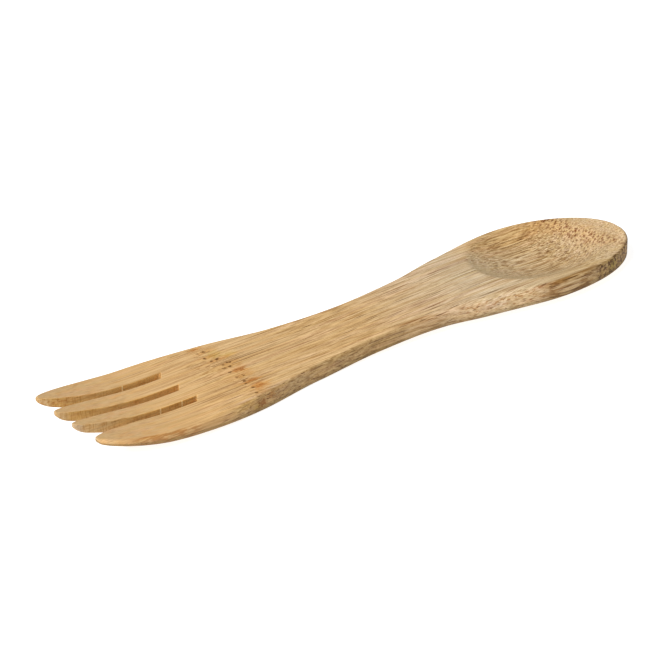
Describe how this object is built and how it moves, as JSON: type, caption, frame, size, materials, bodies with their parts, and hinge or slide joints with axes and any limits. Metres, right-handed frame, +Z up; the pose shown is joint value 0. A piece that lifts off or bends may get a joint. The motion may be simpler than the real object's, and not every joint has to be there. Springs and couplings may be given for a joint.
{
  "type": "spork",
  "caption": "Flat bamboo spork with a tined fork at one end, a shallow spoon bowl at the other and a waisted handle between, cut from a single strip.",
  "frame": {"origin": "middle of the length, on the surface that the spork lies on", "axes": "+X along the fibres from the tines to the spoon, +Y across the fork, +Z up out of the bowl"},
  "size_m": [0.165, 0.033, 0.0072],
  "materials": {
    "bamboo": "sanded natural bamboo, unvarnished, with brown fibre lines along the length"
  },
  "bodies": {
    "root": {"spork": "bamboo"}
  },
  "joints": []
}
